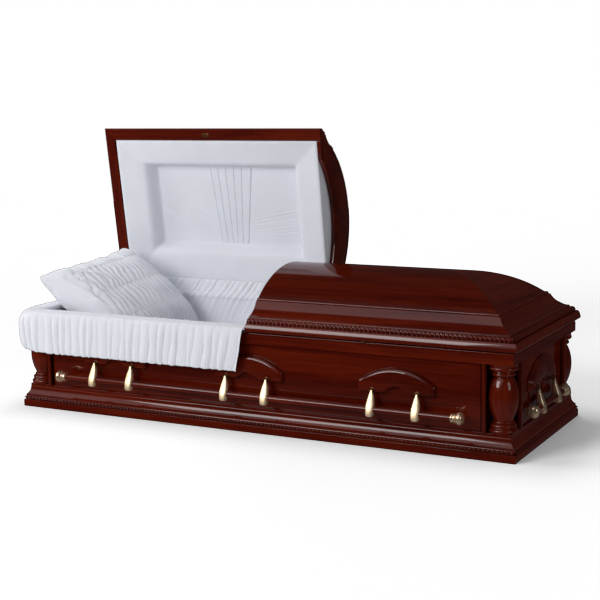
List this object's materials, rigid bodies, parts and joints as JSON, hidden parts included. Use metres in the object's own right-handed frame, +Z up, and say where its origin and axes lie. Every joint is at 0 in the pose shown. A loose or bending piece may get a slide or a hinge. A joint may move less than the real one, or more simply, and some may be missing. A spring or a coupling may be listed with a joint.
{
  "type": "funeral casket",
  "caption": "Half-couch hardwood casket with hinged head and foot lids, turned corner columns, swing bar handles and a gathered cloth interior.",
  "frame": {"origin": "centre of the underside", "axes": "+X towards the foot end, +Y towards the hinge side, +Z up; the head lid stands open and the foot lid is closed"},
  "size_m": [2.179, 0.9412, 1.1224],
  "materials": {
    "mahogany": "high gloss",
    "carved_wood": "high gloss",
    "plain_wood": "satin",
    "handle": "high gloss",
    "brass": "polished",
    "cloth": "soft crepe"
  },
  "bodies": {
    "case": {"bottom_board": "plain_wood", "base_moulding_front": "mahogany", "base_moulding_back": "mahogany", "base_moulding_head": "mahogany", "base_moulding_foot": "mahogany", "wall_front": "mahogany", "wall_back": "mahogany", "wall_head": "mahogany", "wall_foot": "mahogany", "column_front_head": "mahogany", "column_front_foot": "mahogany", "column_back_head": "mahogany", "column_back_foot": "mahogany", "top_rail_front": "mahogany", "top_rail_back": "mahogany", "top_rail_head": "mahogany", "top_rail_foot": "mahogany", "escutcheon_front_head": "carved_wood", "escutcheon_front_middle": "carved_wood", "escutcheon_front_foot": "carved_wood", "escutcheon_back_head": "carved_wood", "escutcheon_back_middle": "carved_wood", "escutcheon_back_foot": "carved_wood", "escutcheon_head_end": "carved_wood", "escutcheon_foot_end": "carved_wood", "mattress": "cloth", "side_lining": "cloth", "pillow": "cloth", "overthrow": "cloth", "hinge_apron": "cloth", "rail_catch": "brass"},
    "head_lid": {"head_lid_moulding_front": "mahogany", "head_lid_moulding_back": "mahogany", "head_lid_moulding_end": "mahogany", "head_lid_crown": "mahogany", "head_lid_header": "mahogany", "head_lid_lining": "cloth", "head_lid_striker": "brass", "head_lid_hinge": "brass"},
    "foot_lid": {"foot_lid_moulding_front": "mahogany", "foot_lid_moulding_back": "mahogany", "foot_lid_moulding_end": "mahogany", "foot_lid_crown": "mahogany", "foot_lid_header": "mahogany", "foot_lid_lining": "cloth", "foot_lid_hinge": "brass"},
    "handle_front": {"bar_front": "handle", "tip_front_head": "brass", "tip_front_foot": "brass"},
    "handle_back": {"bar_back": "handle", "tip_back_head": "brass", "tip_back_foot": "brass"},
    "handle_foot": {"bar_foot": "handle", "tip_foot_front": "brass", "tip_foot_back": "brass"},
    "handle_head": {"bar_head": "handle", "tip_head_front": "brass", "tip_head_back": "brass"}
  },
  "joints": [
    {"name": "head_lid_hinge", "type": "hinge", "parent": "case", "child": "head_lid", "pos_m": [-0.53, 0.362, 0.385], "axis": [1, 0, 0], "range_deg": [0, 82.3], "deforming": ["overthrow", "pillow", "hinge_apron"]},
    {"name": "foot_lid_hinge", "type": "hinge", "parent": "case", "child": "foot_lid", "pos_m": [0.53, 0.362, 0.385], "axis": [-1, 0, 0], "range_deg": [0, 82.3]},
    {"name": "front_handle_swing", "type": "hinge", "parent": "case", "child": "handle_front", "pos_m": [0, -0.373, 0.207], "axis": [-1, 0, 0], "range_deg": [0, 80]},
    {"name": "back_handle_swing", "type": "hinge", "parent": "case", "child": "handle_back", "pos_m": [0, 0.373, 0.207], "axis": [1, 0, 0], "range_deg": [0, 80]},
    {"name": "foot_handle_swing", "type": "hinge", "parent": "case", "child": "handle_foot", "pos_m": [1.055, 0, 0.207], "axis": [0, -1, 0], "range_deg": [0, 80]},
    {"name": "head_handle_swing", "type": "hinge", "parent": "case", "child": "handle_head", "pos_m": [-1.055, 0, 0.207], "axis": [0, 1, 0], "range_deg": [0, 80]}
  ]
}
